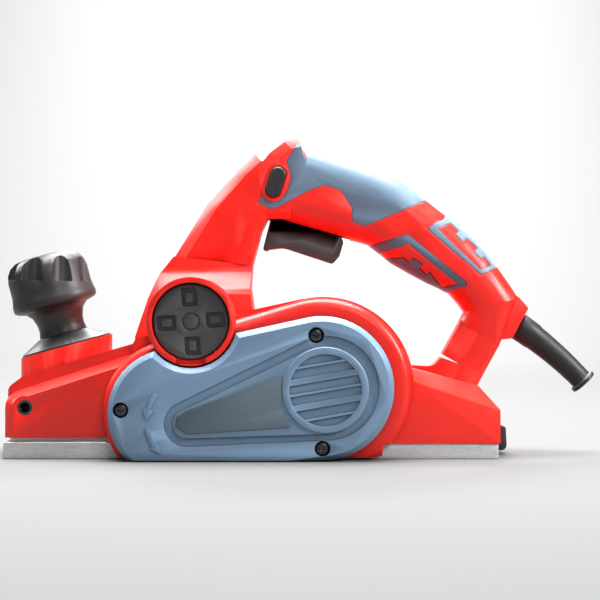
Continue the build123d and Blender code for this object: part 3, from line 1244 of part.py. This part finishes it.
with BuildPart() as port_cap:
    add(turned(PORT_AXIS, [(0, CAP_FACE + 2.4), (15, CAP_FACE + 2.4), (15, CAP_INNER - 0.3),
                           (DIVERTER_R, CAP_INNER - 0.3),
                           (DIVERTER_R, CAP_FACE + 0.8), (DIVERTER_R - 0.8, CAP_FACE), (0, CAP_FACE)]))
    # four finger pads sunk in the face, each with a rib across it, and a small ring in the middle
    for number in range(4):
        pad_plane = Plane(origin=(PORT_X, CAP_FACE, PORT_Z), x_dir=(cos(radians(90 * number + 4)), 0,
                          sin(radians(90 * number + 4))), z_dir=(0, -1, 0))
        with BuildSketch(pad_plane.offset(1)):
            with Locations((14.2, 0)):
                RectangleRounded(11.0, 9.0, 1.6)
        extrude(amount=-2.6, mode=Mode.SUBTRACT)
        with BuildSketch(pad_plane.offset(-1.7)):
            with Locations((14.0, 0)):
                RectangleRounded(6.0, 4.4, 1.0)
        extrude(amount=1.1)
    with BuildSketch(along_y(PORT_X, CAP_FACE + 0.6, PORT_Z)):
        Circle(5.2)
        Circle(4.2, mode=Mode.SUBTRACT)
    extrude(amount=1, mode=Mode.SUBTRACT)
write(port_cap, "port_cap")

# ================================================================ small outside pieces
with BuildPart() as parking_foot:
    add(slab([(FOOT_X - FOOT_HALF, FOOT_Z - FOOT_HALF), (FOOT_X + FOOT_HALF, FOOT_Z - FOOT_HALF),
              (FOOT_X + 2.8, 16.2), (FOOT_X - FOOT_HALF, 18.2)], [3.4, 3.4, 1, 0.6], -12, 12))
    # the fork that straddles the lugs, open towards the housing
    add(disc(FOOT_X, FOOT_Z, FOOT_HALF + 0.9, -6.4, 6.4), mode=Mode.SUBTRACT)
    add(block((FOOT_X - 5, FOOT_X + 0.6), (-6.4, 6.4), (0, 13)), mode=Mode.SUBTRACT)
    # the pin is pushed in from the right and ends inside the left cheek
    add(disc(FOOT_X, FOOT_Z, FOOT_PIN_R, -10.5, 13), mode=Mode.SUBTRACT)
write(parking_foot, "parking_foot")

with BuildPart() as foot_pin:
    add(disc(FOOT_X, FOOT_Z, FOOT_PIN_R - 0.02, -10.4, 12))
write(foot_pin, "foot_pin")

with BuildPart() as base_screws:
    for x, y in BASE_SCREWS:
        add(cross_screw(Plane(origin=(x, y, 2.6), x_dir=(1, 0, 0), z_dir=(0, 0, -1)), 3.8, 2.0,
                        BASE_SCREW_R, 14))
write(base_screws, "base_screws")

with BuildPart() as motor_end_cover_screws:
    for x, z in END_SCREWS:
        add(cross_screw(along_y(x, 72.5, z, 1), 3.0, 2.0, 1.5, 14))
write(motor_end_cover_screws, "motor_end_cover_screws")

with BuildPart() as fence_inserts:
    for y_low, y_high in ((-SOLE_HALF, -SOLE_HALF + 8), (SOLE_HALF - 8, SOLE_HALF)):
        add(bearing_ring(FENCE_X, FENCE_Z, y_low, y_high, FENCE_R, FENCE_R + 1.5))
write(fence_inserts, "fence_inserts")
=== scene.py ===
import json
import math

import bmesh
import bpy
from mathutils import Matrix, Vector


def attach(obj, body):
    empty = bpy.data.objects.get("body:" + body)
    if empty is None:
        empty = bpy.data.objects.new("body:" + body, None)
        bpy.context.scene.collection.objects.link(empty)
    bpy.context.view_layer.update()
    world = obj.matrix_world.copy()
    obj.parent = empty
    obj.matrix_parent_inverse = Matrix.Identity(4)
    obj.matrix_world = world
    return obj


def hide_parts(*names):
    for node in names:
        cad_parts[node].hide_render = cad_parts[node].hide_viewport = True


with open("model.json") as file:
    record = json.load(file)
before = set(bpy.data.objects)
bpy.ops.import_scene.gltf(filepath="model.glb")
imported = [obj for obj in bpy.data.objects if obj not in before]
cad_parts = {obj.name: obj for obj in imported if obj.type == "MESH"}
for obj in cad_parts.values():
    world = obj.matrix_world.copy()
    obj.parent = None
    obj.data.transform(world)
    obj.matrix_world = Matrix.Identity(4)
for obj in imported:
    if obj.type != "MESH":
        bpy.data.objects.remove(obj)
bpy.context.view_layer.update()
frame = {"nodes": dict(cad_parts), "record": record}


# ---------------------------------------------------------------- node helpers
def new_material(name):
    """An empty node material, with its node tree and its Principled shader."""
    material = bpy.data.materials.new(name)
    material.use_nodes = True
    return material, material.node_tree, material.node_tree.nodes["Principled BSDF"]


def noise(tree, scale, detail=3.0, stretch=(1, 1, 1), roughness=0.55):
    """Noise in object coordinates, stretched along the axes."""
    place = tree.nodes.new("ShaderNodeTexCoord")
    mapping = tree.nodes.new("ShaderNodeMapping")
    mapping.inputs["Scale"].default_value = stretch
    texture = tree.nodes.new("ShaderNodeTexNoise")
    texture.inputs["Scale"].default_value = scale
    texture.inputs["Detail"].default_value = detail
    texture.inputs["Roughness"].default_value = roughness
    tree.links.new(place.outputs["Object"], mapping.inputs["Vector"])
    tree.links.new(mapping.outputs["Vector"], texture.inputs["Vector"])
    return texture.outputs["Fac"]


def ramp(tree, value, stops):
    """A colour ramp through (position, colour) stops."""
    node = tree.nodes.new("ShaderNodeValToRGB")
    elements = node.color_ramp.elements
    while len(elements) < len(stops):
        elements.new(0.5)
    for element, (position, colour) in zip(elements, stops):
        element.position = position
        element.color = (*colour, 1)
    tree.links.new(value, node.inputs["Fac"])
    return node.outputs["Color"]


def span(tree, value, low, high, start=0.3, end=0.7):
    """Maps a value from start..end to low..high."""
    node = tree.nodes.new("ShaderNodeMapRange")
    for socket, number in (("From Min", start), ("From Max", end), ("To Min", low), ("To Max", high)):
        node.inputs[socket].default_value = number
    tree.links.new(value, node.inputs["Value"])
    return node.outputs["Result"]


def bump(tree, shader, height, strength, distance):
    """Adds a bump from a height value under any bump already there."""
    node = tree.nodes.new("ShaderNodeBump")
    node.inputs["Strength"].default_value = strength
    node.inputs["Distance"].default_value = distance
    tree.links.new(height, node.inputs["Height"])
    links = shader.inputs["Normal"].links
    if links:
        tree.links.new(links[0].from_socket, node.inputs["Normal"])
    tree.links.new(node.outputs["Normal"], shader.inputs["Normal"])


# ---------------------------------------------------------------- materials
CREASE_SHADE_SAMPLES = 8
GAP_SHADE_WIDTH = 0.0012        # width of the painted shade line along the outline of each soft grip, standing for the shadow in the gap to the shell


def painted_crease_shade(tree, colour, depth, reach=0.006, inside=False):
    """A colour darkened by painted shade in grooves and corners, or with inside, a painted shade line along
    the piece's own outline.
    """
    crease = tree.nodes.new("ShaderNodeAmbientOcclusion")
    crease.samples = CREASE_SHADE_SAMPLES
    crease.inside = inside
    crease.only_local = inside
    crease.inputs["Distance"].default_value = reach
    mix = tree.nodes.new("ShaderNodeMix")
    mix.data_type = "RGBA"
    mix.blend_type = "MULTIPLY"
    mix.inputs["Factor"].default_value = 1.0
    darkest, clear = (0.6, 0.85) if inside else (0.35, 0.9)
    # painted shade: the colour is multiplied darker where the occlusion finds surfaces close by
    shade = ramp(tree, crease.outputs["AO"], [(darkest, (1 - depth,) * 3), (clear, (1, 1, 1))])
    tree.links.new(colour, mix.inputs["A"])
    tree.links.new(shade, mix.inputs["B"])
    return mix.outputs["Result"]


def moulded_plastic(name, colour, rough, grain, grain_strength, spread=0.06, painted_shade_depth=0.3):
    """Moulded plastic: faint colour drift, painted shade in its creases, fine spark-eroded grain and slow
    waviness.
    """
    material, tree, shader = new_material(name)
    darker = tuple(c * (1 - spread) for c in colour)
    lighter = tuple(min(1, c * (1 + spread)) for c in colour)
    tone = ramp(tree, noise(tree, 22, 4), [(0.34, darker), (0.66, lighter)])
    tree.links.new(painted_crease_shade(tree, tone, painted_shade_depth), shader.inputs["Base Color"])
    tree.links.new(span(tree, noise(tree, 70, 4), rough - 0.05, rough + 0.06), shader.inputs["Roughness"])
    bump(tree, shader, noise(tree, grain, 2), grain_strength, 0.00012)
    bump(tree, shader, noise(tree, 35, 2), 0.04, 0.0008)
    shader.inputs["Specular IOR Level"].default_value = 0.4
    return material


def soft_rubber(name, colour):
    """Overmoulded soft grip: velvety, leathery, with a painted shade line along its outline where it meets
    the shell.
    """
    material, tree, shader = new_material(name)
    darker = tuple(c * 0.88 for c in colour)
    tone = ramp(tree, noise(tree, 40, 4), [(0.3, darker), (0.7, colour)])
    # painted shade line along the grip's outline, for the shadow in the gap to the shell
    tree.links.new(painted_crease_shade(tree, tone, 0.85, GAP_SHADE_WIDTH, inside=True), shader.inputs["Base Color"])
    tree.links.new(span(tree, noise(tree, 120, 3), 0.40, 0.52), shader.inputs["Roughness"])
    bump(tree, shader, noise(tree, 2600, 2), 0.20, 0.00015)
    shader.inputs["Sheen Weight"].default_value = 0.3
    shader.inputs["Sheen Roughness"].default_value = 0.35
    return material


def metal(name, colour, rough, stretch, scale, strength, patchy=0.06, metallic=1.0):
    """Bare metal with machining marks stretched along an axis and a mottled tone."""
    material, tree, shader = new_material(name)
    darker = tuple(c * (1 - 2 * patchy) for c in colour)
    lighter = tuple(min(1, c * (1 + patchy)) for c in colour)
    marks = noise(tree, scale, 5, stretch, 0.7)
    tree.links.new(ramp(tree, marks, [(0.3, darker), (0.72, lighter)]), shader.inputs["Base Color"])
    tree.links.new(span(tree, noise(tree, scale * 0.4, 4, stretch), rough - 0.08, rough + 0.1),
                   shader.inputs["Roughness"])
    bump(tree, shader, marks, strength, 0.0002)
    shader.inputs["Metallic"].default_value = metallic
    return material


# the last number of each moulded plastic is the depth of its painted crease shade
MATERIALS = {
    "red_housing": moulded_plastic("red_plastic", (0.72, 0.017, 0.010), 0.34, 1500, 0.05, 0.06, 0.45),
    "blue_cover": moulded_plastic("blue_plastic", (0.140, 0.222, 0.325), 0.36, 1500, 0.07, 0.05, 0.55),
    "soft_grip": soft_rubber("blue_grip", (0.115, 0.185, 0.265)),
    # painted shade: the lower grip gets a darker copy of the upper grip's blue, standing for the shade it
    # sits in
    "dark_grip": soft_rubber("blue_grip_painted_shade", (0.075, 0.125, 0.185)),
    "badge_grey": moulded_plastic("badge_foil", (0.072, 0.098, 0.122), 0.42, 900, 0.05),
    "black_plastic": moulded_plastic("black_plastic", (0.020, 0.020, 0.021), 0.40, 2200, 0.22, 0.15),
    "rubber": moulded_plastic("black_rubber", (0.014, 0.014, 0.014), 0.46, 1800, 0.20, 0.15),
    "cast_aluminium": metal("cast_aluminium", (0.66, 0.65, 0.66), 0.42, (0.35, 1, 1.4), 900, 0.35,
                            patchy=0.09, metallic=0.85),
    "drum_metal": metal("drum_metal", (0.62, 0.62, 0.63), 0.3, (1, 0.2, 1), 500, 0.2),
    "steel": metal("zinc_steel", (0.52, 0.52, 0.54), 0.3, (1, 1, 1), 700, 0.1),
    "copper": metal("enamelled_copper", (0.62, 0.25, 0.09), 0.34, (1, 0.1, 1), 1500, 0.5),
    "brass": metal("brass", (0.72, 0.55, 0.26), 0.3, (1, 1, 1), 600, 0.1),
    "carbon": moulded_plastic("carbon", (0.02, 0.02, 0.02), 0.6, 900, 0.3),
}
BLACK_SCREW = metal("black_screw", (0.10, 0.10, 0.11), 0.30, (1, 1, 1), 900, 0.15)
CAP_GREY = moulded_plastic("cap_plastic", (0.056, 0.056, 0.056), 0.40, 2000, 0.2, 0.12, 0.7)
NODE_SLOTS = {part["node"]: part["material_slot"] for part in frame["record"]["subparts"]}
NODE_BODIES = {node: body for body, nodes in frame["record"]["behaviour"]["bodies"].items() for node in nodes}
OWN_FINISH = {"belt_cover_screws": BLACK_SCREW, "handle_screws": BLACK_SCREW, "fence_inserts": BLACK_SCREW,
              "port_cap": CAP_GREY, "trigger": CAP_GREY}


def finish_with(obj, material):
    """Gives an object one material in all its slots."""
    if not obj.material_slots:
        obj.data.materials.append(material)
    for place in obj.material_slots:
        place.material = material


for node, obj in frame["nodes"].items():
    finish_with(obj, OWN_FINISH.get(node, MATERIALS[NODE_SLOTS[node]]))


# ---------------------------------------------------------------- copies of the pieces with rounded edges
EDGE_SEGMENTS = 2
SHARP_ANGLE = math.radians(28)     # edges sharper than this are rounded
FLAT_ANGLE = math.radians(0.6)     # faces nearer to one plane than this are joined
WELD = 2e-6                        # metres


def softened(node, width):
    """A piece with the node's shape and its sharp edges rounded over, in place of the node."""
    source = frame["nodes"][node]
    mesh = bmesh.new()
    mesh.from_mesh(source.data)
    bmesh.ops.remove_doubles(mesh, verts=mesh.verts, dist=WELD)
    bmesh.ops.dissolve_degenerate(mesh, dist=WELD, edges=mesh.edges)
    bmesh.ops.dissolve_limit(mesh, angle_limit=FLAT_ANGLE, verts=mesh.verts, edges=mesh.edges)
    data = bpy.data.meshes.new(node + "_soft")
    mesh.to_mesh(data)
    mesh.free()
    piece = bpy.data.objects.new(node + "_soft", data)
    bpy.context.scene.collection.objects.link(piece)
    for face in data.polygons:
        face.use_smooth = True
    edge = piece.modifiers.new("edges", "BEVEL")
    edge.width = width
    edge.segments = EDGE_SEGMENTS
    edge.limit_method = "ANGLE"
    edge.angle_limit = SHARP_ANGLE
    edge.use_clamp_overlap = True
    edge.harden_normals = True
    data.materials.append(source.material_slots[0].material)
    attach(piece, NODE_BODIES[node])
    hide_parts(node)


# width of each piece's rounded edges, in metres
SOFTENED = {"main_housing": 0.0009, "belt_cover": 0.0005, "handle_left": 0.0006, "handle_right": 0.0006,
            "motor_end_cover": 0.0005, "depth_knob": 0.0008, "port_cap": 0.0003, "scale_ring": 0.00025,
            "base_frame": 0.0003, "front_shoe": 0.0003, "upper_grip_left": 0.0006, "upper_grip_right": 0.0006,
            "lower_grip_left": 0.0006, "lower_grip_right": 0.0006, "rear_grip_left": 0.0006,
            "rear_grip_right": 0.0006, "trigger": 0.0004, "cord_guard": 0.0004, "cover_badge": 0.0002,
            "parking_foot": 0.0004, "belt_cover_screws": 0.00012, "chip_diverter": 0.0004}
for node, width in SOFTENED.items():
    softened(node, width)

# ---------------------------------------------------------------- camera, floor and light
CAMERA_DISTANCE = 1.1
AIM = Vector((-0.0281, 0, 0.0927))
FIELD = 0.3646             # width of the view at the object's middle plane

camera_data = bpy.data.cameras.new("camera")
camera_data.sensor_width = 36
camera_data.lens = 36 * CAMERA_DISTANCE / FIELD
camera_data.clip_start = 0.05
camera = bpy.data.objects.new("camera", camera_data)
camera.location = AIM + Vector((0, -CAMERA_DISTANCE, 0))
camera.rotation_euler = (math.radians(90), 0, 0)
bpy.context.scene.collection.objects.link(camera)
bpy.context.scene.camera = camera


FLOOR_GAP = -0.0002        # keeps the floor clear of the soles


def pale_floor():
    """A plain pale floor that curves up into a backdrop behind the object."""
    material, tree, shader = new_material("pale_floor")
    shader.inputs["Base Color"].default_value = (0.12, 0.12, 0.12, 1)
    shader.inputs["Roughness"].default_value = 0.8
    shader.inputs["Specular IOR Level"].default_value = 0.2
    mesh = bmesh.new()
    front, back, half, top = -4.0, 1.6, 4.0, 4.0
    radius, steps = 0.8, 24
    profile = [(front, 0.0), (back, 0.0)]
    for step in range(1, steps + 1):
        turn = math.pi / 2 * step / steps
        profile.append((back + radius * math.sin(turn), radius - radius * math.cos(turn)))
    profile.append((back + radius, top))
    rows = [[mesh.verts.new((x, y, z)) for y, z in profile] for x in (-half, half)]
    for left, right in zip(zip(rows[0], rows[1]), zip(rows[0][1:], rows[1][1:])):
        mesh.faces.new((left[0], left[1], right[1], right[0]))
    data = bpy.data.meshes.new("floor")
    mesh.to_mesh(data)
    mesh.free()
    for face in data.polygons:
        face.use_smooth = True
    data.materials.append(material)
    floor = bpy.data.objects.new("floor", data)
    floor.location.z = FLOOR_GAP
    bpy.context.scene.collection.objects.link(floor)


def soft_light(name, place, size, watts, aim=(-0.03, 0, 0.08)):
    """A square area light aimed at a point."""
    light = bpy.data.lights.new(name, "AREA")
    light.shape = "SQUARE"
    light.size = size
    light.energy = watts
    lamp = bpy.data.objects.new(name, light)
    lamp.location = place
    lamp.rotation_euler = (Vector(aim) - Vector(place)).to_track_quat("-Z", "Y").to_euler()
    bpy.context.scene.collection.objects.link(lamp)


pale_floor()
# the strong light is overhead, and the sides get little, so the vertical faces stay deep in colour
soft_light("overhead", (0, 0.10, 1.25), 1.1, 90)
soft_light("left_back", (-1.0, 0.6, 0.8), 0.7, 18)
soft_light("left_front", (-1.3, -1.0, 0.75), 0.45, 3)
soft_light("right_side", (1.25, -0.45, 0.75), 0.5, 24)
soft_light("front_fill", (0.5, -1.6, 1.0), 0.7, 8)
soft_light("backdrop", (0, 1.8, 1.5), 1.0, 170, (0, 2.4, 0.3))

world = bpy.data.worlds.new("world")
world.use_nodes = True
sky = world.node_tree.nodes["Background"]
sky.inputs["Color"].default_value = (1, 1, 1, 1)
sky.inputs["Strength"].default_value = 0.07
bpy.context.scene.world = world
bpy.context.scene.view_settings.view_transform = "Standard"
